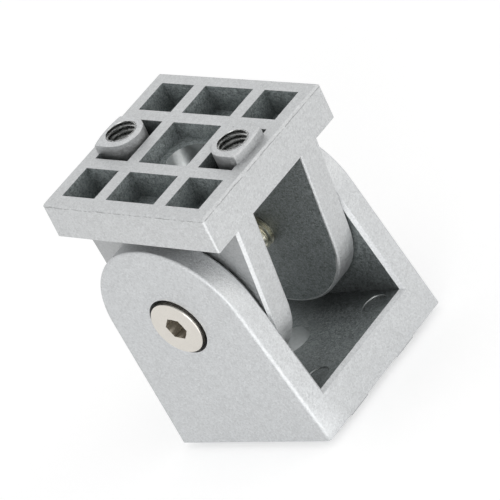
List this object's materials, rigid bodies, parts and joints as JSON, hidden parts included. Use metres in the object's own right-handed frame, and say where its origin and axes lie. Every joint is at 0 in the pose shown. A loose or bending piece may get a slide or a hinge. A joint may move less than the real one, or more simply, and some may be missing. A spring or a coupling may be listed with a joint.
{
  "type": "profile pivot joint",
  "caption": "Two-fork pivot joint that lets one slotted framing profile swing against another, clamped by a screw at each side of its pivot.",
  "frame": {"origin": "middle of the base fork's mounting face, on the axis of its centre hole; the face is the plane Z = 0", "axes": "+Z from the mounting face towards the pivot, Y along the pivot axis, +X the side that the swivel fork leans to at rest"},
  "size_m": [0.0504, 0.0466, 0.0707],
  "materials": {
    "die_cast": "fine-grained satin die casting, silver grey",
    "plated_steel": "satin nickel plating"
  },
  "bodies": {
    "base": {"base_fork": "die_cast"},
    "swivel": {"swivel_fork": "die_cast", "pivot_screw_front": "plated_steel", "pivot_screw_rear": "plated_steel"}
  },
  "joints": [
    {"name": "pivot", "type": "hinge", "parent": "base", "child": "swivel", "pos_m": [0, 0, 0.0327], "axis": [0, 1, 0], "range_deg": [-99.5, 80.5]}
  ]
}
